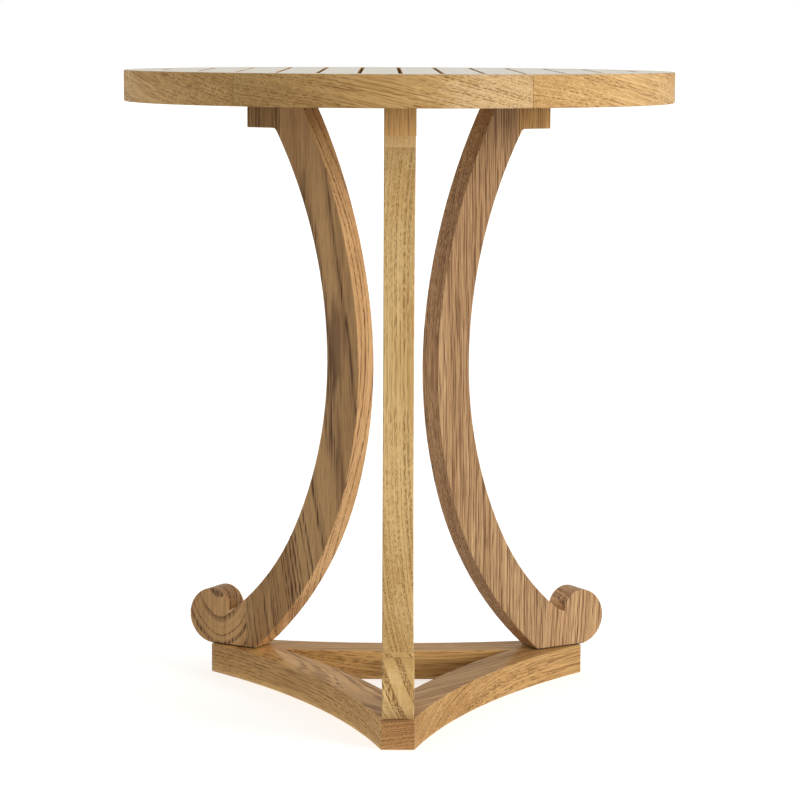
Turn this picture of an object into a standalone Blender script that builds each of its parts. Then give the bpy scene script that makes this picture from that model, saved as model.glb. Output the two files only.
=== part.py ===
"""Round slatted side table on three C-shaped legs with scrolled feet.

Metres, +Z up. The origin is on the table's axis at floor level, and the front leg points
to -Y. The top is a ring of six sawn segments round twelve parallel slats, the legs are
glued up from boards, and three bowed rails make the base that the feet stand on.
"""
import math

import bmesh
import bpy
from mathutils import Matrix, Vector

GAP = 0.0003  # clearance between two pieces that touch

# Overall
HEIGHT = 0.710
MEMBER = 0.034  # thickness of the legs, the base rails and the rim
EASE = 0.0010  # radius of the eased edges
LEG_AZIMUTHS = {"front": -90.0, "right": 30.0, "left": 150.0}

# Top
TOP_RADIUS = 0.305
TOP_UNDERSIDE = HEIGHT - MEMBER
RIM_INNER_RADIUS = 0.263
LEDGE_RADIUS = 0.251
LEDGE_TOP = 0.692
RIM_SEGMENTS = 6
RIM_STEPS = 120
FIRST_RIM_JOINT = 56.0
SPLINE_SIZE = (0.026, 0.030, 0.005)  # radial, across the joint, vertical
SPLINE_RADIUS = 0.283
SPLINE_HEIGHT = 0.690
SLAT_COUNT = 12
SLAT_PITCH = 0.043
SLAT_GAP = 0.004
SLAT_END_GAP = 0.0005
BATTENS = {"front": (-0.197, -0.115), "rear": (0.040, 0.115)}  # lowest and highest y
BATTEN_DOWEL_RADIUS = 0.004
BATTEN_DOWEL_LENGTH = 0.044

# Leg outline: distance from the axis, height
LEG_TOP = TOP_UNDERSIDE - GAP
FOOT_HEIGHT = MEMBER + GAP
LIP_RADIUS = 0.191
LIP_UNDERSIDE = 0.6435
LIP_FILLET = 0.0055
LIP_FILLET_START = (0.1567, LIP_UNDERSIDE)
LIP_FILLET_END = (0.1519, 0.6407)
OUTER_WAIST = (0.0838, 0.3799)
OUTER_CALF = (0.1303, 0.1793)
OUTER_ANKLE = (0.2070, 0.0827)
OUTER_UPPER_BOW = 0.5334
OUTER_LOWER_BOW = 0.4557
OUTER_CALF_BOW = 0.2869
COVE_RADIUS = 0.045
SCROLL_RADIUS = 0.033
SCROLL_CENTRE = (0.2405, FOOT_HEIGHT + SCROLL_RADIUS)
SCROLL_TURN = math.radians(77.6)  # where the outer turn of the scroll meets the inner one
VOLUTE_RADIUS = 0.0237
INNER_HEAD = (0.1205, LEG_TOP)
INNER_SHOULDER = (0.0454, 0.4372)
INNER_CALF = (0.0630, 0.2237)
INNER_HEEL = (0.1823, FOOT_HEIGHT)
INNER_UPPER_BOW = 0.6774
INNER_MIDDLE_BOW = 0.5352
INNER_LOWER_BOW = 0.4068

# Glue lines between the boards of a leg
SCROLL_JOINT = 0.194
SCROLL_BOARD_TOP = 0.120
LIP_JOINT = 0.1465
LIP_BOARD_BOTTOM = 0.600

# Base
CORNER_RADIUS = 0.2425
CORNER_HALF_WIDTH = 0.018
RAIL_OUTER_NEAR = 0.111  # the outer edge's nearest distance to the axis
RAIL_INNER_NEAR = 0.0675
HOLE_CORNER_RADIUS = 0.153
RAIL_JOINT_OFFSET = 0.0012  # how far past the corner's edge the butt joint comes out
TENON_SIZE = (0.024, 0.040, 0.008)  # along the joint, across the joint, vertical
TENON_RADIUS = 0.175
TENON_HEIGHT = 0.017

# Fasteners
FOOT_BOLT_RADII = {"inner": 0.205, "outer": 0.228}
BOLT_SHANK = 0.003
BOLT_HEAD = 0.0062
BOLT_HEAD_HEIGHT = 0.0045
BOLT_TIP = 0.062
BOLT_SOCKET = 0.0032
BOLT_SOCKET_DEPTH = 0.0025
COUNTERBORE_DEPTH = 0.009
COUNTERBORE_RADIUS = 0.0068
HEAD_SCREW_RADII = {"inner": 0.133, "outer": 0.170}
SCREW_HEAD = 0.0045
SCREW_SHANK = 0.00225
SCREW_HEAD_DEPTH = 0.0027
SCREW_LENGTH = 0.040
SCREW_POINT = 0.004
ROUND_STEPS = 16

OAK = (0.62, 0.43, 0.25)
PALE_OAK = (0.72, 0.56, 0.37)
BEECH = (0.74, 0.55, 0.38)
STEEL = (0.55, 0.56, 0.58)


def clear_scene():
    for obj in list(bpy.data.objects):
        bpy.data.objects.remove(obj)


def new_collection(name):
    collection = bpy.data.collections.new(name)
    bpy.context.scene.collection.children.link(collection)
    return collection


def principled(name, colour, roughness, metallic=0.0):
    material = bpy.data.materials.new(name)
    material.use_nodes = True
    shader = material.node_tree.nodes["Principled BSDF"]
    shader.inputs["Base Color"].default_value = (*colour, 1.0)
    shader.inputs["Roughness"].default_value = roughness
    shader.inputs["Metallic"].default_value = metallic
    material.diffuse_color = (*colour, 1.0)
    return material


def polar(radius, degrees, across=0.0):
    """Point at a radius and azimuth, moved across the radius anticlockwise."""
    angle = math.radians(degrees)
    along = Vector((math.cos(angle), math.sin(angle)))
    left = Vector((-math.sin(angle), math.cos(angle)))
    return along * radius + left * across


def arc(start, end, radius, steps):
    """Points after start, up to end. A positive radius turns left on the way."""
    start = Vector(start)
    end = Vector(end)
    chord = end - start
    half = chord.length / 2
    left = Vector((-chord.y, chord.x)).normalized()
    rise = math.copysign(math.sqrt(radius * radius - half * half), radius)
    centre = (start + end) / 2 + left * rise
    sweep = math.copysign(2 * math.asin(half / abs(radius)), radius)
    points = []
    for step in range(1, steps + 1):
        turn = Matrix.Rotation(sweep * step / steps, 2)
        points.append(centre + turn @ (start - centre))
    return points


def radius_of_bow(half_chord, depth):
    return (half_chord * half_chord + depth * depth) / (2 * depth)


def baked(obj):
    """The object's evaluated mesh in world space; the object is removed."""
    graph = bpy.context.evaluated_depsgraph_get()
    graph.update()
    mesh = bpy.data.meshes.new_from_object(obj.evaluated_get(graph))
    mesh.transform(obj.matrix_world)
    name = obj.name
    bpy.data.objects.remove(obj)
    mesh.name = name
    return mesh


def mesh_object(name, mesh, collection):
    obj = bpy.data.objects.new(name, mesh)
    collection.objects.link(obj)
    return obj


def prism(name, loops, low, high):
    """Closed mesh over flat outlines, from low to high; loops inside the first are holes."""
    curve = bpy.data.curves.new(name, "CURVE")
    curve.dimensions = "2D"
    curve.fill_mode = "BOTH"
    curve.extrude = (high - low) / 2
    for loop in loops:
        spline = curve.splines.new("POLY")
        spline.points.add(len(loop) - 1)
        for point, place in zip(spline.points, loop):
            point.co = (place[0], place[1], 0.0, 1.0)
        spline.use_cyclic_u = True
    mesh = baked(mesh_object(name, curve, bpy.context.scene.collection))
    solid = bmesh.new()
    solid.from_mesh(mesh)
    bmesh.ops.remove_doubles(solid, verts=solid.verts, dist=0.00001)
    bmesh.ops.dissolve_limit(
        solid, angle_limit=math.radians(0.2), verts=solid.verts, edges=solid.edges
    )
    bmesh.ops.translate(solid, verts=solid.verts, vec=(0, 0, (low + high) / 2))
    solid.to_mesh(mesh)
    solid.free()
    return mesh


def turned(name, profile, steps):
    """Closed mesh of a profile turned about Z; the profile runs top to bottom."""
    mesh = bpy.data.meshes.new(name)
    edges = [(index, index + 1) for index in range(len(profile) - 1)]
    mesh.from_pydata([(radius, 0, height) for radius, height in profile], edges, [])
    obj = mesh_object(name, mesh, bpy.context.scene.collection)
    screw = obj.modifiers.new("turn", "SCREW")
    screw.axis = "Z"
    screw.steps = steps
    screw.render_steps = steps
    screw.use_merge_vertices = True
    screw.merge_threshold = 0.00001
    return baked(obj)


def box(name, size, centre):
    bpy.ops.mesh.primitive_cube_add(size=1, location=centre)
    obj = bpy.context.object
    obj.name = name
    obj.scale = size
    return baked(obj)


def cylinder(name, radius, low, high, steps=ROUND_STEPS):
    return turned(name, [(0, high), (radius, high), (radius, low), (0, low)], steps)


def cutter(name, mesh, place=None):
    obj = mesh_object(name, mesh, CUTTERS)
    obj.matrix_world = place or Matrix.Identity(4)
    obj.hide_render = True
    obj.display_type = "WIRE"
    return obj


def boolean(obj, tool, operation="DIFFERENCE"):
    modifier = obj.modifiers.new(tool.name, "BOOLEAN")
    modifier.operation = operation
    modifier.solver = "EXACT"
    modifier.object = tool


def ease_edges(mesh, width=EASE, segments=2):
    obj = mesh_object(mesh.name, mesh, bpy.context.scene.collection)
    bevel = obj.modifiers.new("eased edges", "BEVEL")
    bevel.width = width
    bevel.segments = segments
    bevel.limit_method = "ANGLE"
    bevel.angle_limit = math.radians(35)
    return baked(obj)


def carved(name, mesh, tools, keep=None):
    """The mesh inside keep, if given, with every tool taken out of it."""
    obj = mesh_object(name, mesh, bpy.context.scene.collection)
    if keep:
        boolean(obj, keep, "INTERSECT")
    for tool in tools:
        boolean(obj, tool)
    return baked(obj)


def piece(name, mesh, material, azimuth=0.0):
    """A finished sub-part, turned about the table's axis."""
    if not mesh.materials:
        mesh.materials.append(material)
    mesh.shade_smooth()
    mesh.set_sharp_from_angle(angle=math.radians(32))
    obj = mesh_object(name, mesh, PARTS)
    obj.rotation_euler.z = math.radians(azimuth)
    return obj


def standing_place(radius, azimuth=0.0, height=0.0):
    """Matrix that moves a mesh out to a radius and then turns it to an azimuth."""
    turn = Matrix.Rotation(math.radians(azimuth), 4, "Z")
    return turn @ Matrix.Translation((radius, 0, height))


# ---------------------------------------------------------------- fasteners


def foot_bolt_mesh():
    """Socket-head bolt, head down, with the head's bearing face at height 0."""
    tip = BOLT_TIP - COUNTERBORE_DEPTH
    profile = [
        (0, tip),
        (BOLT_SHANK / 2, tip),
        (BOLT_SHANK, tip - BOLT_SHANK),
        (BOLT_SHANK, 0),
        (BOLT_HEAD, 0),
        (BOLT_HEAD, 0.0007 - BOLT_HEAD_HEIGHT),
        (BOLT_HEAD - 0.0007, -BOLT_HEAD_HEIGHT),
        (0, -BOLT_HEAD_HEIGHT),
    ]
    floor = BOLT_SOCKET_DEPTH - BOLT_HEAD_HEIGHT
    socket = cylinder("hex socket", BOLT_SOCKET, -BOLT_HEAD_HEIGHT - 0.002, floor, 6)
    return carved("foot_bolt", turned("bolt", profile, ROUND_STEPS), [cutter("hex socket", socket)])


def foot_bolt_hole_mesh():
    """Room for a foot bolt: counterbore from below the base, then the shank's hole."""
    wide = BOLT_SHANK + GAP
    profile = [
        (0, BOLT_TIP + GAP),
        (wide, BOLT_TIP + GAP),
        (wide, COUNTERBORE_DEPTH),
        (COUNTERBORE_RADIUS, COUNTERBORE_DEPTH),
        (COUNTERBORE_RADIUS, -0.002),
        (0, -0.002),
    ]
    return turned("foot bolt hole", profile, ROUND_STEPS)


def head_screw_mesh():
    """Countersunk screw, head up, with the head's face at height 0."""
    profile = [
        (0, 0),
        (SCREW_HEAD, 0),
        (SCREW_SHANK, -SCREW_HEAD_DEPTH),
        (SCREW_SHANK, SCREW_POINT - SCREW_LENGTH),
        (SCREW_SHANK / 3, -SCREW_LENGTH),
        (0, -SCREW_LENGTH),
    ]
    return turned("head_screw", profile, ROUND_STEPS)


def head_screw_hole_mesh():
    """Room for a head screw: the screw's own shape, wider by the gap all round."""
    above = 0.001
    slope = (SCREW_HEAD - SCREW_SHANK) / SCREW_HEAD_DEPTH
    wide = SCREW_SHANK + GAP
    mouth = SCREW_HEAD + GAP * math.hypot(1, slope) + above * slope
    profile = [
        (0, above),
        (mouth, above),
        (wide, above - (mouth - wide) / slope),
        (wide, -SCREW_LENGTH - GAP),
        (0, -SCREW_LENGTH - GAP),
    ]
    return turned("head screw hole", profile, ROUND_STEPS)


# ---------------------------------------------------------------- top


def rim_profile():
    """The ring's section from its top edge, down its outer side and back up the inside."""
    low = TOP_UNDERSIDE
    near = EASE * (1 - math.sqrt(0.5))
    return [
        (RIM_INNER_RADIUS + EASE, HEIGHT),
        (TOP_RADIUS - EASE, HEIGHT),
        (TOP_RADIUS - near, HEIGHT - near),
        (TOP_RADIUS, HEIGHT - EASE),
        (TOP_RADIUS, low + EASE),
        (TOP_RADIUS - near, low + near),
        (TOP_RADIUS - EASE, low),
        (LEDGE_RADIUS + EASE, low),
        (LEDGE_RADIUS, low + EASE),
        (LEDGE_RADIUS, LEDGE_TOP),
        (RIM_INNER_RADIUS, LEDGE_TOP),
        (RIM_INNER_RADIUS, HEIGHT - EASE),
        (RIM_INNER_RADIUS + EASE, HEIGHT),
    ]


def rim_segment_mesh():
    """One sixth of the ring, from azimuth 0, slotted at both ends for a spline."""
    sector = 360 / RIM_SEGMENTS
    half_step = 180 / RIM_STEPS
    ring = turned("ring", rim_profile(), RIM_STEPS)
    ring.transform(Matrix.Rotation(math.radians(half_step), 4, "Z"))
    margin = math.degrees(GAP / 2 / SPLINE_RADIUS)
    far = TOP_RADIUS * 1.4
    wedge = [
        polar(LEDGE_RADIUS / 2, margin),
        polar(far, margin),
        polar(far, sector - margin),
        polar(LEDGE_RADIUS / 2, sector - margin),
    ]
    keep = cutter("rim wedge", prism("rim wedge", [wedge], TOP_UNDERSIDE - 0.01, HEIGHT + 0.01))
    slot_size = [length + 2 * GAP for length in SPLINE_SIZE]
    slot = box("spline slot", slot_size, (SPLINE_RADIUS, 0, SPLINE_HEIGHT))
    slots = []
    for azimuth in (0.0, sector):
        slots.append(cutter("spline slot", slot, standing_place(0, azimuth)))
    return carved("rim_segment", ring, slots, keep)


def strip_outline(low, high, radius, steps):
    """A strip along Y between two x values, with both ends cut to a circle."""
    low_end = math.sqrt(radius * radius - low * low)
    high_end = math.sqrt(radius * radius - high * high)
    points = [(low, -low_end)]
    points += arc((low, -low_end), (high, -high_end), radius, steps)
    points.append((high, high_end))
    points += arc((high, high_end), (low, low_end), radius, steps)
    return points


def batten_dowel_places():
    """Matrix of every dowel between a batten's end and the rim, lying along X."""
    places = []
    for low, high in BATTENS.values():
        middle = (low + high) / 2
        reach = math.sqrt(LEDGE_RADIUS * LEDGE_RADIUS - middle * middle)
        lie = Matrix.Rotation(math.radians(90), 4, "Y")
        height = (TOP_UNDERSIDE + LEDGE_TOP) / 2
        for side in (-1, 1):
            places.append(Matrix.Translation((side * reach, middle, height)) @ lie)
    return places


def make_top():
    oak = principled("rim_oak", OAK, 0.45)
    spline_wood = principled("spline_beech", BEECH, 0.6)
    slat_oak = principled("slat_oak", PALE_OAK, 0.45)
    batten_oak = principled("batten_oak", OAK, 0.6)
    dowel_wood = principled("dowel_beech", BEECH, 0.6)
    sector = 360 / RIM_SEGMENTS

    half = BATTEN_DOWEL_LENGTH / 2
    dowel = cylinder("batten_dowel", BATTEN_DOWEL_RADIUS, -half, half, 12)
    hole = cylinder("dowel hole", BATTEN_DOWEL_RADIUS + GAP, -half - GAP, half + GAP, 12)
    dowel_holes = []
    for number, place in enumerate(batten_dowel_places(), 1):
        pin = piece(f"batten_dowel_{number}", dowel, dowel_wood)
        pin.matrix_world = place
        dowel_holes.append(cutter("dowel hole", hole, place))

    segment = rim_segment_mesh()
    spline = box("rim_spline", SPLINE_SIZE, (SPLINE_RADIUS, 0, SPLINE_HEIGHT))
    for number in range(RIM_SEGMENTS):
        start = FIRST_RIM_JOINT + number * sector
        arc_piece = piece(f"rim_segment_{number + 1}", segment, oak, start)
        for dowel_hole in dowel_holes:
            place = dowel_hole.matrix_world.translation
            if (math.degrees(math.atan2(place.y, place.x)) - start) % 360 < sector:
                boolean(arc_piece, dowel_hole)
        piece(f"rim_spline_{number + 1}", spline, spline_wood, start)

    for number in range(SLAT_COUNT):
        middle = (number - (SLAT_COUNT - 1) / 2) * SLAT_PITCH
        half_width = (SLAT_PITCH - SLAT_GAP) / 2
        reach = RIM_INNER_RADIUS - SLAT_END_GAP
        outline = strip_outline(middle - half_width, middle + half_width, reach, 3)
        name = f"slat_{number + 1:02d}"
        piece(name, ease_edges(prism(name, [outline], LEDGE_TOP + GAP, HEIGHT)), slat_oak)

    screw_holes = []
    hole = head_screw_hole_mesh()
    for azimuth in LEG_AZIMUTHS.values():
        for radius in HEAD_SCREW_RADII.values():
            place = standing_place(radius, azimuth, LEDGE_TOP - GAP)
            screw_holes.append(cutter("head screw hole", hole, place))
    for side, (low, high) in BATTENS.items():
        outline = strip_outline(low, high, LEDGE_RADIUS - GAP, 4)
        plank = ease_edges(prism("batten", [outline], TOP_UNDERSIDE, LEDGE_TOP), EASE, 1)
        plank.transform(Matrix.Rotation(math.radians(90), 4, "Z"))
        tools = []
        for tool in screw_holes + dowel_holes:
            if low < tool.matrix_world.translation.y < high:
                tools.append(tool)
        piece(f"batten_{side}", carved("batten", plank, tools), batten_oak)


# ---------------------------------------------------------------- legs


def leg_outline():
    """The leg's face, clockwise from the inner end of its head."""
    turn = Vector((math.cos(SCROLL_TURN), math.sin(SCROLL_TURN)))
    crest = Vector(SCROLL_CENTRE) + turn * SCROLL_RADIUS
    volute_centre = Vector(SCROLL_CENTRE) + turn * (SCROLL_RADIUS - VOLUTE_RADIUS)
    notch = volute_centre - Vector((VOLUTE_RADIUS, 0))
    scroll_foot = (SCROLL_CENTRE[0], FOOT_HEIGHT)
    points = [INNER_HEAD, (LIP_RADIUS, LEG_TOP), (LIP_RADIUS, LIP_UNDERSIDE), LIP_FILLET_START]
    points += arc(LIP_FILLET_START, LIP_FILLET_END, LIP_FILLET, 3)
    points += arc(LIP_FILLET_END, OUTER_WAIST, OUTER_UPPER_BOW, 16)
    points += arc(OUTER_WAIST, OUTER_CALF, OUTER_LOWER_BOW, 12)
    points += arc(OUTER_CALF, OUTER_ANKLE, OUTER_CALF_BOW, 8)
    points += arc(OUTER_ANKLE, notch, COVE_RADIUS, 2)
    points += arc(notch, crest, -VOLUTE_RADIUS, 8)
    points += arc(crest, scroll_foot, -SCROLL_RADIUS, 14)
    points.append(INNER_HEEL)
    points += arc(INNER_HEEL, INNER_CALF, -INNER_LOWER_BOW, 12)
    points += arc(INNER_CALF, INNER_SHOULDER, -INNER_MIDDLE_BOW, 10)
    points += arc(INNER_SHOULDER, INNER_HEAD, -INNER_UPPER_BOW, 12)
    points.pop()
    return points


def board_box(name, near, low, high):
    """A box over everything beyond the radius near, between two heights."""
    far = 0.300
    size = (far - near, 2 * MEMBER, high - low)
    return cutter(name, box(name, size, ((near + far) / 2, 0, (low + high) / 2)))


def make_legs():
    stave_oak = principled("leg_oak", OAK, 0.45)
    scroll_oak = principled("scroll_oak", OAK, 0.45)
    lip_oak = principled("lip_oak", OAK, 0.45)
    bolt_steel = principled("bolt_steel", STEEL, 0.35, 1.0)
    screw_steel = principled("screw_steel", STEEL, 0.35, 1.0)

    blank = prism("leg", [leg_outline()], -MEMBER / 2, MEMBER / 2)
    blank.transform(Matrix.Rotation(math.radians(90), 4, "X"))
    blank = ease_edges(blank)
    holes = []
    for radius in FOOT_BOLT_RADII.values():
        holes.append(cutter("foot bolt hole", foot_bolt_hole_mesh(), standing_place(radius)))
    for radius in HEAD_SCREW_RADII.values():
        place = standing_place(radius, 0, LEDGE_TOP - GAP)
        holes.append(cutter("head screw hole", head_screw_hole_mesh(), place))

    half = GAP / 2
    below = 0.010
    scroll_box = board_box("scroll board", SCROLL_JOINT + half, below, SCROLL_BOARD_TOP)
    lip_box = board_box("lip board", LIP_JOINT + half, LIP_BOARD_BOTTOM, HEIGHT)
    beyond_scroll = board_box("scroll cut", SCROLL_JOINT - half, below, SCROLL_BOARD_TOP)
    beyond_lip = board_box("lip cut", LIP_JOINT - half, LIP_BOARD_BOTTOM, HEIGHT)
    stave = carved("leg_stave", blank.copy(), holes[2:3] + [beyond_scroll, beyond_lip])
    scroll = carved("leg_scroll", blank.copy(), holes[:2], scroll_box)
    lip = carved("leg_lip", blank.copy(), holes[3:], lip_box)

    bolt = foot_bolt_mesh()
    screw = head_screw_mesh()
    for side, azimuth in LEG_AZIMUTHS.items():
        piece(f"leg_{side}_stave", stave, stave_oak, azimuth)
        piece(f"leg_{side}_scroll", scroll, scroll_oak, azimuth)
        piece(f"leg_{side}_lip", lip, lip_oak, azimuth)
        for end, radius in FOOT_BOLT_RADII.items():
            fastener = piece(f"foot_bolt_{side}_{end}", bolt, bolt_steel)
            fastener.matrix_world = standing_place(radius, azimuth, COUNTERBORE_DEPTH - GAP)
        for end, radius in HEAD_SCREW_RADII.items():
            fastener = piece(f"head_screw_{side}_{end}", screw, screw_steel)
            fastener.matrix_world = standing_place(radius, azimuth, LEDGE_TOP - 2 * GAP)


# ---------------------------------------------------------------- base


def base_outlines():
    """The base's outer edge and its hole, both anticlockwise, with a corner at azimuth 0."""
    corner = polar(CORNER_RADIUS, -60, CORNER_HALF_WIDTH)
    outer_bow = radius_of_bow(-corner.y, corner.x - RAIL_OUTER_NEAR)
    hole_corner = polar(HOLE_CORNER_RADIUS, 60)
    inner_bow = radius_of_bow(hole_corner.y, hole_corner.x - RAIL_INNER_NEAR)
    outer = []
    hole = []
    for azimuth in (0, 120, 240):
        start = polar(CORNER_RADIUS, azimuth, CORNER_HALF_WIDTH)
        end = polar(CORNER_RADIUS, azimuth + 120, -CORNER_HALF_WIDTH)
        outer.append(start)
        outer += arc(start, end, -outer_bow, 16)
        start = polar(HOLE_CORNER_RADIUS, azimuth)
        end = polar(HOLE_CORNER_RADIUS, azimuth + 120)
        hole += arc(start, end, -inner_bow, 12)
    return [outer, hole]


def rail_joint(azimuth, offset=0.0):
    """The butt joint's line at a corner, from its inner to its outer end."""
    inner = polar(HOLE_CORNER_RADIUS, azimuth)
    outer = polar(CORNER_RADIUS, azimuth, CORNER_HALF_WIDTH + RAIL_JOINT_OFFSET)
    along = (outer - inner).normalized()
    left = Vector((-along.y, along.x)) * offset
    return inner + left, outer + left, along


def tenon_place(azimuth):
    """Matrix at the middle of a corner's tenon, with X along the joint."""
    inner, _, along = rail_joint(azimuth)
    middle = inner + along * (TENON_RADIUS - HOLE_CORNER_RADIUS)
    turn = Matrix.Rotation(math.atan2(along.y, along.x), 4, "Z")
    return Matrix.Translation((middle.x, middle.y, TENON_HEIGHT)) @ turn


def make_base():
    base_oak = principled("base_oak", OAK, 0.45)
    tenon_wood = principled("tenon_beech", BEECH, 0.6)
    blank = ease_edges(prism("base", base_outlines(), 0.0, MEMBER))

    reach = 0.060
    start, start_out, start_along = rail_joint(0, GAP / 2)
    end, end_out, end_along = rail_joint(120, -GAP / 2)
    wedge = [
        start - start_along * reach,
        start_out + start_along * reach,
        polar(3 * CORNER_RADIUS, 60),
        end_out + end_along * reach,
        end - end_along * reach,
    ]
    keep = cutter("rail wedge", prism("rail wedge", [wedge], -0.01, MEMBER + 0.01))
    slot = box("tenon slot", [length + 2 * GAP for length in TENON_SIZE], (0, 0, 0))
    tools = [cutter("tenon slot", slot, tenon_place(azimuth)) for azimuth in (0, 120)]
    for radius in FOOT_BOLT_RADII.values():
        place = standing_place(radius, 120)
        tools.append(cutter("foot bolt hole", foot_bolt_hole_mesh(), place))
    rail = carved("base_rail", blank, tools, keep)

    tenon = box("corner_tenon", TENON_SIZE, (0, 0, 0))
    for number, (side, azimuth) in enumerate(LEG_AZIMUTHS.items(), 1):
        piece(f"base_rail_{number}", rail, base_oak, azimuth)
        peg = piece(f"corner_tenon_{side}", tenon, tenon_wood)
        peg.matrix_world = tenon_place(azimuth)


clear_scene()
PARTS = new_collection("side_table")
CUTTERS = new_collection("cutters")
make_top()
make_legs()
make_base()
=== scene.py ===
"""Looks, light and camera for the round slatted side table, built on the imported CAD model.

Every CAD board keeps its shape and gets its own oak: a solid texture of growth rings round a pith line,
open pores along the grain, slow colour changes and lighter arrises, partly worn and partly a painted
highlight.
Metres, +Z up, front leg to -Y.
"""

import math
import random

import bpy
from mathutils import Matrix, Vector


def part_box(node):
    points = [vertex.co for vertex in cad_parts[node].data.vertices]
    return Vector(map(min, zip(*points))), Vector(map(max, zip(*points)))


IMAGE_SIDE_PX = 800
SENSOR_WIDTH_MM = 36.0

# Camera: where it stands, and how it is turned.
CAMERA_DISTANCE = 2.9576
CAMERA_HEIGHT = 0.7477
CAMERA_AZIMUTH = math.radians(-0.32)
CAMERA_YAW = math.radians(0.0436)
CAMERA_PITCH = math.radians(7.844)
CAMERA_ROLL = math.radians(0.272)
CAMERA_FOCAL_PX = 2641.5

# Studio light: one big soft key from the right, a weak one from the left, and a pale room.
KEY_AZIMUTH = -28.0
KEY_ELEVATION = 11.0
KEY_STRENGTH = 2.75
KEY_SPREAD = 26.0
KEY_COLOR = (1.0, 0.985, 0.96)
FILL_AZIMUTH = 152.0
FILL_ELEVATION = 12.0
FILL_STRENGTH = 0.9
FILL_SPREAD = 50.0
FILL_COLOR = (0.97, 0.99, 1.0)
HORIZON_LIGHT = (0.755, 0.735, 0.675)
ZENITH_LIGHT = (0.44, 0.43, 0.40)
HORIZON_FADE = 0.45
BACKDROP_WHITE = (1.0, 1.0, 1.0)

# Floor: it lies a little under the base, and rays shorter than the contact length pass through it.
FLOOR_HALF_WIDTH = 60.0
FLOOR_ALBEDO = 0.85
FLOOR_GLOW = 0.6
FLOOR_DROP = 0.0002
FLOOR_CONTACT = 0.01

# The table's own layout, as in the CAD model.
RIM_MIDDLE_RADIUS = 0.284
RIM_MIDDLE_HEIGHT = 0.693
RIM_SEGMENTS = 6
RIM_FIRST_JOINT = 56.0
LEG_AZIMUTHS = {"front": -90.0, "right": 30.0, "left": 150.0}
CORNER_RADIUS = 0.2425
SMOOTH_ANGLE = math.radians(12.0)
WELD_DISTANCE = 1e-5


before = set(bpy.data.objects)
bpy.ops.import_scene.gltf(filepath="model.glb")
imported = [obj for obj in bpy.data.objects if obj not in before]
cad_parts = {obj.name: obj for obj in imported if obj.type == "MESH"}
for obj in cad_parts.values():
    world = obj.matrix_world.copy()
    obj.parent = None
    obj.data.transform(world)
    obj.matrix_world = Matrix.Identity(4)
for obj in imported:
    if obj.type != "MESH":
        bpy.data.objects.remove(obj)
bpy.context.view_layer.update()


def polar(radius, azimuth, height=0.0):
    """The point at that radius and azimuth, in degrees, round the table's axis."""
    turn = math.radians(azimuth)
    return Vector((radius * math.cos(turn), radius * math.sin(turn), height))


# ---------------------------------------------------------------- node helpers


class Tree:
    """A node tree under construction. Each call but node() adds one node and returns its output."""

    def __init__(self, tree):
        self.tree = tree

    def node(self, kind, inputs=(), **settings):
        node = self.tree.nodes.new(kind)
        for name, value in settings.items():
            setattr(node, name, value)
        pairs = inputs.items() if isinstance(inputs, dict) else enumerate(inputs)
        for key, value in pairs:
            if isinstance(value, bpy.types.NodeSocket):
                self.tree.links.new(value, node.inputs[key])
            elif value is not None:
                node.inputs[key].default_value = value
        return node

    def add(self, kind, inputs=(), output=0, **settings):
        return self.node(kind, inputs, **settings).outputs[output]

    def math(self, operation, *values, clamp=False):
        return self.add("ShaderNodeMath", values, operation=operation, use_clamp=clamp)

    def vector_math(self, operation, *values, output=0):
        return self.add("ShaderNodeVectorMath", values, output, operation=operation)

    def noise(self, vector, detail=2.0, output=0):
        inputs = {"Vector": vector, "Scale": 1.0, "Detail": detail, "Roughness": 0.5}
        return self.add("ShaderNodeTexNoise", inputs, output)

    def step(self, value, low, high, start=0.0, end=1.0):
        """Goes smoothly from start to end as value goes from low to high."""
        values = (value, low, high, start, end)
        return self.add("ShaderNodeMapRange", values, interpolation_type="SMOOTHSTEP")

    def mix(self, factor, a, b, blend="MIX"):
        node = self.tree.nodes.new("ShaderNodeMix")
        node.data_type = "RGBA"
        node.blend_type = blend
        for name, value in (("Factor_Float", factor), ("A_Color", a), ("B_Color", b)):
            socket = next(s for s in node.inputs if s.identifier == name)
            if isinstance(value, bpy.types.NodeSocket):
                self.tree.links.new(value, socket)
            else:
                socket.default_value = value
        return next(s for s in node.outputs if s.identifier == "Result_Color")


def group_tree(name, sockets):
    """A new shader group with those inputs, as (name, socket type, default)."""
    group = bpy.data.node_groups.new(name, "ShaderNodeTree")
    for label, kind, default in sockets:
        socket = group.interface.new_socket(label, in_out="INPUT", socket_type=kind)
        if default is not None:
            socket.default_value = default
    return group


# ---------------------------------------------------------------- oak

OAK_INPUTS = (
    ("Place", "NodeSocketVector", None),
    ("Seed", "NodeSocketFloat", 0.0),
    ("Ring width", "NodeSocketFloat", 0.0025),
    ("Pith v", "NodeSocketFloat", 0.0),
    ("Pith w", "NodeSocketFloat", -0.1),
    ("Lean v", "NodeSocketFloat", 0.0),
    ("Lean w", "NodeSocketFloat", 0.0),
    ("Wave", "NodeSocketFloat", 0.01),
    ("Pale", "NodeSocketColor", (0.6, 0.4, 0.2, 1)),
    ("Brown", "NodeSocketColor", (0.45, 0.28, 0.12, 1)),
    ("Pore", "NodeSocketColor", (0.2, 0.1, 0.04, 1)),
    ("Contrast", "NodeSocketFloat", 1.0),
    ("Even", "NodeSocketFloat", 0.0),
    ("Narrowing", "NodeSocketFloat", 0.0),
    ("Patch place", "NodeSocketVector", None),
    ("Patch size", "NodeSocketVector", (1.0, 1.0, 1.0)),
    ("Patch depth", "NodeSocketFloat", 0.0),
    ("Patch", "NodeSocketColor", (0.1, 0.05, 0.02, 1)),
)
OAK_OUTPUTS = (
    ("Color", "NodeSocketColor"),
    ("Pores", "NodeSocketFloat"),
    ("Tone", "NodeSocketFloat"),
)

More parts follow.
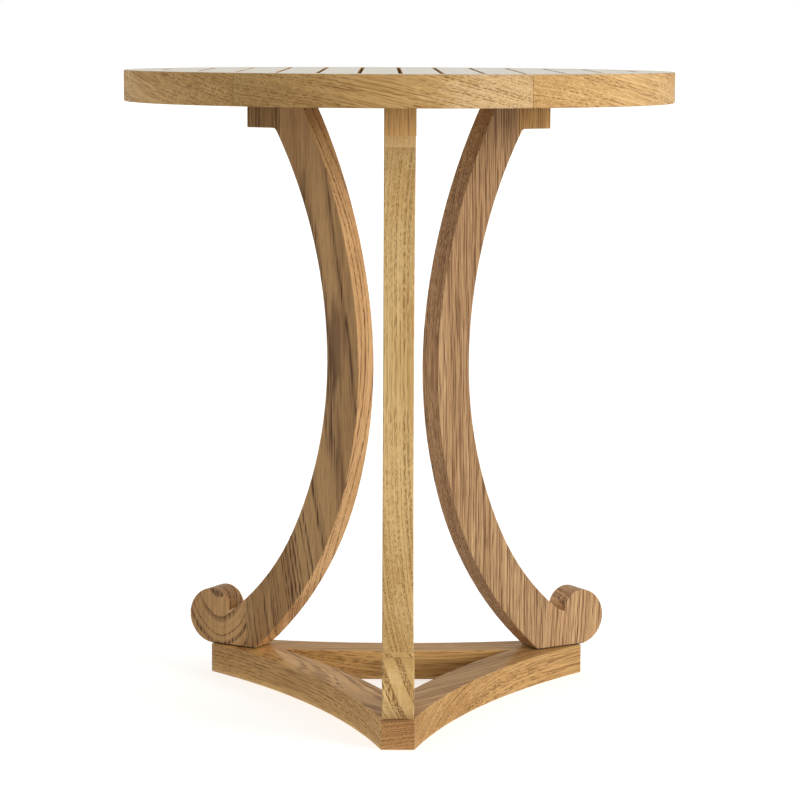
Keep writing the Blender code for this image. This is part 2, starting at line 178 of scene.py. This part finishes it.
# How finely each noise is drawn along the grain and across it, per metre.
WANDER_SCALE = (3.2, 9.0)
RIPPLE_SCALE = (16.0, 150.0)
DASH_SCALE = (15.0, 760.0)
SPECK_SCALE = (50.0, 1300.0)
BROAD_SCALE = (2.0, 26.0)
STREAK_SCALE = (9.0, 300.0)
RAGGED_SCALE = (12.0, 220.0)

# How strong each is, and between which values of its noise or of the ring's phase it comes in.
RIPPLE_DEPTH = 0.0016
PACE_SCALE = 0.37
PACE_DEPTH = 2.2
BAND_OPENS = (0.0, 0.12)
BAND_CLOSES = (0.22, 0.62)
DASH_RANGE = (0.42, 0.6)
DASH_SHARE = 0.75
SPECK_RANGE = (0.52, 0.66)
SPECK_SHARE = 0.22
EVEN_PORES = 0.8
BROAD_RANGE = (0.3, 0.7)
STREAK_DEPTH = 2.4
RAGGED_DEPTH = 1.6
PATCH_RANGE = (0.5, 1.15)


def oak_group():
    """The oak texture. Place is the point in the board: x along the grain, y and z across it."""
    group = group_tree("oak_board", OAK_INPUTS)
    for label, kind in OAK_OUTPUTS:
        group.interface.new_socket(label, in_out="OUTPUT", socket_type=kind)
    t = Tree(group)
    inputs = group.nodes.new("NodeGroupInput").outputs
    seed = t.add("ShaderNodeCombineXYZ", (inputs["Seed"], inputs["Seed"], inputs["Seed"]))
    place = t.vector_math("ADD", inputs["Place"], seed)

    def stretched(scale, detail=2.0, output=0):
        along, across = scale
        scaled = t.vector_math("MULTIPLY", place, (along, across, across))
        return t.noise(scaled, detail, output=output)

    # Distance from the pith line, which wanders and leans along the board.
    wander = t.vector_math("SUBTRACT", stretched(WANDER_SCALE, output=1), (0.5, 0.5, 0.5))
    split = t.node("ShaderNodeSeparateXYZ", (inputs["Place"],)).outputs
    shift = t.node("ShaderNodeSeparateXYZ", (wander,)).outputs
    offsets = []
    for here, pith, lean, sway in (
        (split[1], inputs["Pith v"], inputs["Lean v"], shift[0]),
        (split[2], inputs["Pith w"], inputs["Lean w"], shift[1]),
    ):
        offset = t.math("SUBTRACT", here, pith)
        offset = t.math("MULTIPLY_ADD", split[0], lean, offset)
        offsets.append(t.math("MULTIPLY_ADD", sway, inputs["Wave"], offset))
    flat = t.add("ShaderNodeCombineXYZ", (*offsets, 0.0))
    radius = t.vector_math("LENGTH", flat, output=1)
    ripple = t.math("SUBTRACT", stretched(RIPPLE_SCALE), 0.5)
    radius = t.math("MULTIPLY_ADD", ripple, RIPPLE_DEPTH, radius)
    radius = t.math("MULTIPLY", radius, t.math("MULTIPLY_ADD", radius, inputs["Narrowing"], 1.0))
    rings = t.math("DIVIDE", radius, inputs["Ring width"])
    slowly = {"W": t.math("MULTIPLY", rings, PACE_SCALE), "Detail": 1.0}
    pace = t.add("ShaderNodeTexNoise", slowly, noise_dimensions="1D")
    rings = t.math("MULTIPLY_ADD", pace, PACE_DEPTH, rings)
    phase = t.math("FRACT", rings)

    # Each ring opens with a band of big pores and closes with dense smooth wood.
    opening = t.step(phase, *BAND_OPENS)
    closing = t.step(phase, *BAND_CLOSES, 1.0, 0.0)
    early = t.math("MULTIPLY", opening, closing)
    dashes = t.step(stretched(DASH_SCALE, 1.0), *DASH_RANGE)
    specks = t.step(stretched(SPECK_SCALE, 0.0), *SPECK_RANGE)
    spread = t.add("ShaderNodeMix", {"Factor": inputs["Even"], "A": early, "B": EVEN_PORES})
    pores = t.math("MULTIPLY", spread, t.math("MULTIPLY_ADD", dashes, DASH_SHARE, 1.0 - DASH_SHARE))
    pores = t.math("MULTIPLY_ADD", specks, SPECK_SHARE, pores, clamp=True)

    # Slow changes of tone along and across the board.
    broad = t.step(stretched(BROAD_SCALE, 3.0), *BROAD_RANGE)
    streaks = t.math("SUBTRACT", stretched(STREAK_SCALE), 0.5)
    tone = t.math("MULTIPLY_ADD", streaks, STREAK_DEPTH, broad, clamp=True)
    ground = t.mix(tone, inputs["Pale"], inputs["Brown"])

    # One ragged patch of another colour, on the boards that have one: a dark blotch in the wood, and on
    # one rim segment a pale painted highlight.
    reach = t.vector_math("SUBTRACT", inputs["Place"], inputs["Patch place"])
    reach = t.vector_math("LENGTH", t.vector_math("DIVIDE", reach, inputs["Patch size"]), output=1)
    ragged = t.math("SUBTRACT", stretched(RAGGED_SCALE), 0.5)
    reach = t.math("MULTIPLY_ADD", ragged, RAGGED_DEPTH, reach)
    patch = t.math("MULTIPLY", t.step(reach, *PATCH_RANGE, 1.0, 0.0), inputs["Patch depth"])
    ground = t.mix(patch, ground, inputs["Patch"])

    depth = t.math("MULTIPLY", pores, inputs["Contrast"], clamp=True)
    color = t.mix(depth, ground, inputs["Pore"])

    outputs = group.nodes.new("NodeGroupOutput").inputs
    group.links.new(color, outputs["Color"])
    group.links.new(pores, outputs["Pores"])
    group.links.new(tone, outputs["Tone"])
    return group


OAK = oak_group()

# Colours of worn arrises, which are also a painted highlight, and, multiplied onto the wood, of end
# grain.
WORN_AND_HIGHLIT_EDGE = (0.80, 0.60, 0.36, 1)
END_GRAIN = (0.72, 0.62, 0.60, 1)
LEG_END_GRAIN = (0.96, 0.90, 0.84, 1)
ARRIS_RADIUS = 0.0014
ARRIS_SAMPLES = 4
ARRIS_DEPTH = 0.5

# Cosines between which a face comes to count as a wide face, as end grain and as looking up.
WIDE_RANGE = (0.3, 0.7)
END_RANGE = (0.55, 0.9)
UPWARD_RANGE = (0.3, 0.9)

# The same for being away from any arris, and how far an arris may bend along the grain.
FLAT_RANGE = (0.75, 0.995)
BENT_RANGE = (0.04, 0.2)

# Finish: what pores and tone add to the roughness and to the relief, and the lacquer.
ROUGHNESS = 0.44
PORE_ROUGHNESS = 0.2
TONE_ROUGHNESS = 0.08
TONE_RELIEF = 0.15
RELIEF_STRENGTH = 0.5
RELIEF_DISTANCE = 0.0003
SPECULAR = 0.4
LACQUER_ROUGHNESS = 0.07


def board_turn(grain, across):
    """The rotation that takes x to the grain, y to the direction across it, and z to the third."""
    x = Vector(grain).normalized()
    z = x.cross(Vector(across)).normalized()
    y = z.cross(x)
    return Matrix((x, y, z)).transposed().to_euler()


def oak_material(
    name, origin, grain, across, look,
    edge_tone_and_painted_light=1.0, end_grain=END_GRAIN, worn_and_highlit_ends=True, lacquer=0.3, line=None,
):
    """Oak for one board: origin, grain and across place it, and look holds its own figure and colours.

    Faces square to the across direction are lighter than the board's two wide faces by the given factor,
    or darker below 1: partly the wood's own tone on those faces, partly painted light and shade.
    Unless the ends are paled too, only the arrises along the grain are paled, as wear and as a painted
    highlight. Faces that look up are lacquered.
    A line, of painted shade or painted highlight, is the height it fades from and to, its depth and its
    colour, which all the wood below has too.
    """
    along, sideways = Vector(grain).normalized(), Vector(grain).cross(Vector(across)).normalized()
    material = bpy.data.materials.new(name)
    material.use_nodes = True
    t = Tree(material.node_tree)
    material.node_tree.nodes.clear()
    here = t.add("ShaderNodeTexCoord", output=3)
    turn = board_turn(grain, across)
    inputs = {"Vector": here, "Location": Vector(origin), "Rotation": turn}
    place = t.add("ShaderNodeMapping", inputs, vector_type="TEXTURE")
    color, pores, tone = t.node("ShaderNodeGroup", {"Place": place, **look}, node_tree=OAK).outputs

    true = t.add("ShaderNodeNewGeometry", output=1)
    # Narrow faces lighter or darker than the wide ones: partly the wood's tone, partly painted light and
    # shade.
    if edge_tone_and_painted_light != 1.0:
        wide = t.vector_math("DOT_PRODUCT", true, sideways, output=1)
        lift = t.step(t.math("ABSOLUTE", wide), *WIDE_RANGE, edge_tone_and_painted_light, 1.0)
        color = t.vector_math("SCALE", color, None, None, lift)

    # End grain drinks the oil, and is darker and redder.
    end = t.vector_math("DOT_PRODUCT", true, along, output=1)
    end = t.step(t.math("ABSOLUTE", end), *END_RANGE)
    color = t.mix(end, color, end_grain, "MULTIPLY")

    # Arrises are paler, partly as rubbed wear and partly as a painted highlight along the edges.
    rounded = t.add("ShaderNodeBevel", {"Radius": ARRIS_RADIUS}, samples=ARRIS_SAMPLES)
    facing = t.vector_math("DOT_PRODUCT", rounded, true, output=1)
    arris = t.step(facing, *FLAT_RANGE, 1.0, 0.0)
    if not worn_and_highlit_ends:
        bend = t.vector_math("SUBTRACT", rounded, true)
        bend = t.vector_math("DOT_PRODUCT", bend, along, output=1)
        arris = t.math("MULTIPLY", arris, t.step(t.math("ABSOLUTE", bend), *BENT_RANGE, 1.0, 0.0))
    color = t.mix(t.math("MULTIPLY", arris, ARRIS_DEPTH), color, WORN_AND_HIGHLIT_EDGE)

    # A painted line may mark the board's lower end: painted shadow in the joint under a foot, and a
    # painted highlight on the front lip's lower edge.
    if line:
        low, high, depth, painted_light_color = line
        level = t.node("ShaderNodeSeparateXYZ", (here,)).outputs[2]
        color = t.mix(t.step(level, low, high, depth, 0.0), color, painted_light_color)

    relief = t.math("MULTIPLY_ADD", pores, -1.0, t.math("MULTIPLY", tone, TONE_RELIEF))
    bump = {"Strength": RELIEF_STRENGTH, "Distance": RELIEF_DISTANCE, "Height": relief}
    roughness = t.math("MULTIPLY_ADD", tone, TONE_ROUGHNESS, ROUGHNESS)
    upward = t.node("ShaderNodeSeparateXYZ", (true,)).outputs[2]
    shader = {
        "Base Color": color,
        "Roughness": t.math("MULTIPLY_ADD", pores, PORE_ROUGHNESS, roughness),
        "Normal": t.add("ShaderNodeBump", bump),
        "Specular IOR Level": SPECULAR,
        "Coat Weight": t.step(upward, *UPWARD_RANGE, 0.0, lacquer),
        "Coat Roughness": LACQUER_ROUGHNESS,
    }
    surface = t.add("ShaderNodeBsdfPrincipled", shader)
    t.node("ShaderNodeOutputMaterial", (surface,))
    return material


def look(
    seed, ring_mm, pith_mm, lean, wave_mm, tint, contrast,
    even=0.0, shade=1.0, narrowing=0.0, patch=None,
):
    """A board's figure: ring width, its pith line's place (v, w), lean and wander, and its colours.

    Even is how far the pores leave their bands, and narrowing how fast the rings thin out from the pith.
    A patch is its middle and half sizes, both along the board's axes, its depth and its colour.
    """
    pale, brown, pore = ([shade * part for part in color] for color in TINTS[tint])
    figure = {
        "Seed": seed,
        "Ring width": ring_mm / 1000,
        "Pith v": pith_mm[0] / 1000,
        "Pith w": pith_mm[1] / 1000,
        "Lean v": lean[0],
        "Lean w": lean[1],
        "Wave": wave_mm / 1000,
        "Pale": (*pale, 1),
        "Brown": (*brown, 1),
        "Pore": (*pore, 1),
        "Contrast": contrast,
        "Even": even,
        "Narrowing": narrowing,
    }
    if patch:
        figure.update(zip(("Patch place", "Patch size", "Patch depth", "Patch"), patch))
    return figure


# Colours of the palest wood, the brownest wood and the pores.
TINTS = {
    "plain": ((0.70, 0.42, 0.155), (0.53, 0.295, 0.096), (0.20, 0.09, 0.026)),
    "amber": ((0.57, 0.34, 0.13), (0.44, 0.24, 0.08), (0.17, 0.077, 0.022)),
    "golden": ((0.78, 0.54, 0.24), (0.64, 0.405, 0.155), (0.27, 0.14, 0.042)),
    "rim": ((0.66, 0.41, 0.155), (0.48, 0.265, 0.082), (0.25, 0.123, 0.036)),
    # The rim's tint with a painted sheen added: paler and bluer.
    "rim_and_painted_sheen": ((0.69, 0.445, 0.195), (0.50, 0.29, 0.105), (0.26, 0.135, 0.045)),
    "tan": ((0.69, 0.42, 0.185), (0.51, 0.285, 0.115), (0.13, 0.058, 0.024)),
    "rosy": ((0.62, 0.40, 0.205), (0.475, 0.285, 0.14), (0.165, 0.082, 0.038)),
    "brown": ((0.76, 0.46, 0.175), (0.58, 0.32, 0.11), (0.20, 0.09, 0.027)),
    "beech": ((0.62, 0.43, 0.27), (0.56, 0.37, 0.22), (0.42, 0.26, 0.14)),
}


ZINC_MARK_SCALE = (300.0, 300.0, 4000.0)
ZINC_SPANGLE_SCALE = (600.0, 600.0, 600.0)
ZINC_DARK = (0.5, 0.52, 0.54, 1)
ZINC_LIGHT = (0.68, 0.69, 0.7, 1)
ZINC_MARK_RANGE = (0.2, 0.8)
ZINC_ROUGHNESS = (0.25, 0.45)
ZINC_RELIEF = {"Strength": 0.3, "Distance": 0.0001}


def brushed_zinc():
    """Zinc plate with fine turning marks."""
    material = bpy.data.materials.new("zinc")
    material.use_nodes = True
    material.node_tree.nodes.clear()
    t = Tree(material.node_tree)
    here = t.add("ShaderNodeTexCoord", output=3)
    marks = t.noise(t.vector_math("MULTIPLY", here, ZINC_MARK_SCALE))
    spangle = t.noise(t.vector_math("MULTIPLY", here, ZINC_SPANGLE_SCALE), 1.0)
    color = t.mix(spangle, ZINC_DARK, ZINC_LIGHT)
    roughness = t.step(marks, *ZINC_MARK_RANGE, *ZINC_ROUGHNESS)
    bump = t.add("ShaderNodeBump", {**ZINC_RELIEF, "Height": marks})
    shader = {"Base Color": color, "Roughness": roughness, "Normal": bump, "Metallic": 1.0}
    surface = t.add("ShaderNodeBsdfPrincipled", shader)
    t.node("ShaderNodeOutputMaterial", (surface,))
    return material


# ---------------------------------------------------------------- boards

UP = Vector((0, 0, 1))

# Each board's look, in the order of look(): seed, ring width, pith, lean, wave, tint, contrast, even,
# shade, narrowing and patch.
LEG_LOOKS = {
    "leg_front_stave": look(11, 4.4, (60, 330), (0.0, 0.0), 12, "golden", 0.85, 0.12, 0.80),
    "leg_front_scroll": look(23, 19.0, (268, -170), (0.0, 0.42), 10, "golden", 1.15, 0.0, 0.82),
    "leg_front_lip": look(31, 4.0, (120, 260), (0.05, 0.0), 8, "brown", 0.7, 0.3, 0.92),
    "leg_left_stave": look(
        47, 42.0, (34, -70), (-0.14, 0.0), 12, "tan", 1.05, 0.03, 0.87, 14.0,
        patch=((0.40, 0.073, 0.017), (0.062, 0.012, 0.018), 0.62, (0.117, 0.052, 0.026, 1)),
    ),
    "leg_left_scroll": look(53, 12.0, (230, 87), (0.0, 0.5), 24, "tan", 1.1, 0.0, 1.05),
    # The left lip's low shade is painted shade, where the top shades it.
    "leg_left_lip": look(61, 4.0, (-90, 140), (0.0, 0.0), 8, "brown", 1.2, 0.3, 0.60),
    "leg_right_stave": look(73, 4.0, (-60, 260), (0.02, 0.0), 12, "rosy", 1.4, 0.35, 0.98),
    "leg_right_scroll": look(83, 5.0, (-160, 50), (-0.06, 0.0), 8, "rosy", 1.35, 0.1, 1.1),
    "leg_right_lip": look(97, 4.0, (-120, 160), (0.0, 0.0), 6, "brown", 1.3, 0.3),
}
RIM_GRAIN_SLOPE = 0.2

# Each rim segment's tint, shade and patch. The fourth segment's pale patch is a painted highlight, and
# the fifth segment's paler, bluer tint a painted sheen, on the rim's right side.
RIM_TONES = (
    ("rim", 1.0, None),
    ("rim", 1.05, None),
    ("rim", 1.06, None),
    ("rim", 0.95, ((0.125, 0.0, 0.0), (0.07, 0.08, 0.08), 0.75, (0.80, 0.57, 0.31, 1))),
    ("rim_and_painted_sheen", 1.05, None),
    ("rim", 1.0, None),
)
TOP_LACQUER = 1.0

# How much lighter each leg's narrow faces are than its wide ones: partly the wood's own tone, partly
# painted light, set for each leg by how the light falls on it.
LEG_EDGE_TONE_AND_PAINTED_LIGHT = {"front": 1.23, "right": 1.3, "left": 1.08}

# Lines low on a board: painted shadow in the joint under a foot, and a painted highlight on the lower
# edge of the front lip.
FOOT_PAINTED_SHADOW = (0.035, 0.036, 1.0, (0.03, 0.018, 0.01, 1))
FRONT_LIP_PAINTED_HIGHLIGHT = (0.6438, 0.6448, 0.5, (0.78, 0.55, 0.26, 1))


def leg_material(node):
    side = node.split("_")[1]
    outward = polar(1, LEG_AZIMUTHS[side])
    line = FRONT_LIP_PAINTED_HIGHLIGHT if node == "leg_front_lip" else FOOT_PAINTED_SHADOW
    return oak_material(
        node, (0, 0, 0), UP, outward, LEG_LOOKS[node],
        edge_tone_and_painted_light=LEG_EDGE_TONE_AND_PAINTED_LIGHT[side], end_grain=LEG_END_GRAIN, line=line,
    )


def rim_material(node):
    number = int(node.split("_")[-1])
    middle = RIM_FIRST_JOINT + 360.0 / RIM_SEGMENTS * (number - 0.5)
    chance = random.Random(number)
    pith = (chance.uniform(-40, 0), chance.choice((-1, 1)) * chance.uniform(120, 190))
    lean = (0.0, chance.uniform(-0.05, 0.05))
    tint, shade, patch = RIM_TONES[number - 1]
    ring = chance.uniform(2.6, 3.4)
    figure = look(
        seed=100 + 9 * number, ring_mm=ring, pith_mm=pith, lean=lean, wave_mm=14,
        tint=tint, contrast=0.95, even=0.25, shade=shade, patch=patch,
    )
    grain = polar(1, middle + 90, -RIM_GRAIN_SLOPE)
    outward = polar(1, middle)
    origin = polar(RIM_MIDDLE_RADIUS, middle, RIM_MIDDLE_HEIGHT)
    return oak_material(node, origin, grain, outward, figure, worn_and_highlit_ends=False, lacquer=TOP_LACQUER)


def slat_material(node):
    chance = random.Random(node)
    low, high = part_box(node)
    pith = (chance.uniform(-40, 40), -chance.uniform(30, 90))
    lean = (chance.uniform(-0.03, 0.03), 0.02)
    figure = look(
        ring_mm=chance.uniform(2.4, 3.6), seed=chance.uniform(0, 500), shade=chance.uniform(0.92, 1.14),
        pith_mm=pith, lean=lean, wave_mm=10, tint="rim", contrast=0.9, even=0.05,
    )
    return oak_material(node, (low + high) / 2, (0, 1, 0), (1, 0, 0), figure, lacquer=TOP_LACQUER)


def batten_material(node):
    low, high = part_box(node)
    figure = look(
        seed=len(node) * 17, ring_mm=3.0, pith_mm=(20, -60), lean=(0.02, 0.02), wave_mm=10,
        tint="plain", contrast=1.0,
    )
    return oak_material(node, (low + high) / 2, (1, 0, 0), (0, 1, 0), figure)


# Each rail runs from its first corner to its second.
RAIL_CORNERS = {
    "base_rail_1": (-90.0, 30.0),
    "base_rail_2": (30.0, 150.0),
    "base_rail_3": (150.0, -90.0),
}

# The rails' narrow faces are painted darker than their tops, a painted shade against the light on the
# tops, and their grain turns a little from the run.
RAIL_LOOKS = {
    "base_rail_1": look(141, 4.6, (120, -150), (0.0, 0.0), 8, "amber", 0.9, 0.2, 1.14),
    "base_rail_2": look(157, 3.4, (-60, -70), (0.03, 0.0), 10, "plain", 0.85, 0.1, 1.14),
    "base_rail_3": look(173, 4.0, (10, -120), (0.02, 0.03), 12, "brown", 0.9, 0.1, 1.12),
}
# Painted shade: the rails' narrow faces are darker than their lit tops.
RAIL_SIDE_PAINTED_SHADE = 0.87
RAIL_LACQUER = 0.2
RAIL_GRAIN_SLEW = {"base_rail_1": -14.0, "base_rail_2": 4.0, "base_rail_3": 3.0}


def rail_material(node):
    start, end = (polar(CORNER_RADIUS, azimuth) for azimuth in RAIL_CORNERS[node])
    run = end - start
    run.rotate(Matrix.Rotation(math.radians(RAIL_GRAIN_SLEW[node]), 3, "Z"))
    middle = (start + end) / 2
    return oak_material(
        node, middle, run, UP.cross(run), RAIL_LOOKS[node],
        edge_tone_and_painted_light=RAIL_SIDE_PAINTED_SHADE, lacquer=RAIL_LACQUER,
    )


def beech_material(node):
    low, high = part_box(node)
    size = high - low
    grain = (1, 0, 0) if size.x > size.y else (0, 1, 0)
    figure = look(
        seed=len(node) * 29, ring_mm=1.6, pith_mm=(70, 30), lean=(0.0, 0.0), wave_mm=4,
        tint="beech", contrast=0.4,
    )
    return oak_material(node, (low + high) / 2, grain, UP, figure)


def smoothing_group():
    """Drops a mesh's stored shading, welds it, and shades it smooth where its faces nearly line up."""
    group = bpy.data.node_groups.new("smooth_curved_faces", "GeometryNodeTree")
    group.interface.new_socket("Geometry", in_out="INPUT", socket_type="NodeSocketGeometry")
    group.interface.new_socket("Geometry", in_out="OUTPUT", socket_type="NodeSocketGeometry")
    t = Tree(group)
    mesh = group.nodes.new("NodeGroupInput").outputs[0]
    for stored in ("custom_normal", "sharp_edge"):
        mesh = t.add("GeometryNodeRemoveAttribute", (mesh, stored))
    welded = t.add("GeometryNodeMergeByDistance", {"Geometry": mesh, "Distance": WELD_DISTANCE})
    angle = t.add("GeometryNodeInputMeshEdgeAngle")
    gentle = t.add("FunctionNodeCompare", (angle, SMOOTH_ANGLE), operation="LESS_THAN")
    every = {"Geometry": welded, "Shade Smooth": True}
    faces = t.add("GeometryNodeSetShadeSmooth", every, domain="FACE")
    chosen = {"Geometry": faces, "Shade Smooth": gentle}
    edges = t.add("GeometryNodeSetShadeSmooth", chosen, domain="EDGE")
    t.node("NodeGroupOutput", (edges,))
    return group


MATERIAL_MAKERS = {
    "leg": leg_material,
    "rim_segment": rim_material,
    "slat": slat_material,
    "batten_front": batten_material,
    "batten_rear": batten_material,
    "base_rail": rail_material,
    "rim_spline": beech_material,
    "batten_dowel": beech_material,
    "corner_tenon": beech_material,
}


def dress_nodes():
    """Gives every CAD node its material and smooth curved faces."""
    smoothing = smoothing_group()
    zinc = brushed_zinc()
    for name in sorted(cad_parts):
        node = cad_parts[name]
        makers = [make for start, make in MATERIAL_MAKERS.items() if name.startswith(start)]
        material = makers[0](name) if makers else zinc
        node.data.materials.clear()
        node.data.materials.append(material)
        modifier = node.modifiers.new("smooth_curved_faces", "NODES")
        modifier.node_group = smoothing


# ---------------------------------------------------------------- stage


def sun(name, azimuth, elevation, strength, spread, color):
    """A soft light from far off in that direction, which shows in no reflection."""
    light = bpy.data.lights.new(name, "SUN")
    light.energy = strength
    light.angle = math.radians(spread)
    light.color = color
    lamp = bpy.data.objects.new(name, light)
    toward = polar(math.cos(math.radians(elevation)), azimuth, math.sin(math.radians(elevation)))
    lamp.visible_glossy = False
    lamp.rotation_euler = toward.to_track_quat("Z", "Y").to_euler()
    bpy.context.collection.objects.link(lamp)


def lay_floor():
    """The pale floor, which glows for the camera alone, so that it is as pale as the backdrop."""
    square = ((-1, -1), (1, -1), (1, 1), (-1, 1))
    corners = [(x * FLOOR_HALF_WIDTH, y * FLOOR_HALF_WIDTH, -FLOOR_DROP) for x, y in square]
    mesh = bpy.data.meshes.new("floor")
    mesh.from_pydata(corners, [], [(0, 1, 2, 3)])
    floor = bpy.data.objects.new("floor", mesh)
    bpy.context.collection.objects.link(floor)
    material = bpy.data.materials.new("floor")
    material.use_nodes = True
    material.node_tree.nodes.clear()
    t = Tree(material.node_tree)
    paint = t.add("ShaderNodeBsdfDiffuse", {"Color": (FLOOR_ALBEDO, FLOOR_ALBEDO, FLOOR_ALBEDO, 1)})
    path = t.node("ShaderNodeLightPath").outputs
    strength = t.math("MULTIPLY", path["Is Camera Ray"], FLOOR_GLOW)
    glow = t.add("ShaderNodeEmission", {"Strength": strength})
    above = t.add("ShaderNodeAddShader", (paint, glow))

    # It is clear from below, and to the short rays between it and the base.
    touching = t.math("LESS_THAN", path["Ray Length"], FLOOR_CONTACT)
    below = t.add("ShaderNodeNewGeometry", output=6)
    clear = t.add("ShaderNodeBsdfTransparent")
    mixed = (t.math("MAXIMUM", below, touching), above, clear)
    t.node("ShaderNodeOutputMaterial", (t.add("ShaderNodeMixShader", mixed),))
    mesh.materials.append(material)


def light_room():
    """The pale room, white where the camera sees it, and the two soft lights."""
    world = bpy.data.worlds.new("room")
    world.use_nodes = True
    world.node_tree.nodes.clear()
    t = Tree(world.node_tree)
    seen = t.add("ShaderNodeLightPath", output=0)
    direction = t.node("ShaderNodeSeparateXYZ", (t.add("ShaderNodeTexCoord"),)).outputs
    height = t.step(direction[2], 0.0, HORIZON_FADE)
    light = t.mix(height, (*HORIZON_LIGHT, 1), (*ZENITH_LIGHT, 1))
    color = t.mix(seen, light, (*BACKDROP_WHITE, 1))
    t.node("ShaderNodeOutputWorld", (t.add("ShaderNodeBackground", (color, 1.0)),))
    bpy.context.scene.world = world

    sun("key", KEY_AZIMUTH, KEY_ELEVATION, KEY_STRENGTH, KEY_SPREAD, KEY_COLOR)
    sun("fill", FILL_AZIMUTH, FILL_ELEVATION, FILL_STRENGTH, FILL_SPREAD, FILL_COLOR)


def photographer():
    """The camera, in front of the front leg and a little above the top."""
    data = bpy.data.cameras.new("camera")
    data.sensor_width = SENSOR_WIDTH_MM
    data.lens = CAMERA_FOCAL_PX / IMAGE_SIDE_PX * SENSOR_WIDTH_MM
    camera = bpy.data.objects.new("camera", data)
    turn = (
        Matrix.Rotation(CAMERA_AZIMUTH - CAMERA_YAW, 4, "Z")
        @ Matrix.Rotation(math.pi / 2 - CAMERA_PITCH, 4, "X")
        @ Matrix.Rotation(CAMERA_ROLL, 4, "Z")
    )
    place = Matrix.Rotation(CAMERA_AZIMUTH, 4, "Z") @ Vector((0, -CAMERA_DISTANCE, CAMERA_HEIGHT))
    camera.matrix_world = Matrix.Translation(place) @ turn
    bpy.context.collection.objects.link(camera)
    bpy.context.scene.camera = camera


photographer()
lay_floor()
light_room()
dress_nodes()
bpy.context.scene.view_settings.view_transform = "Standard"
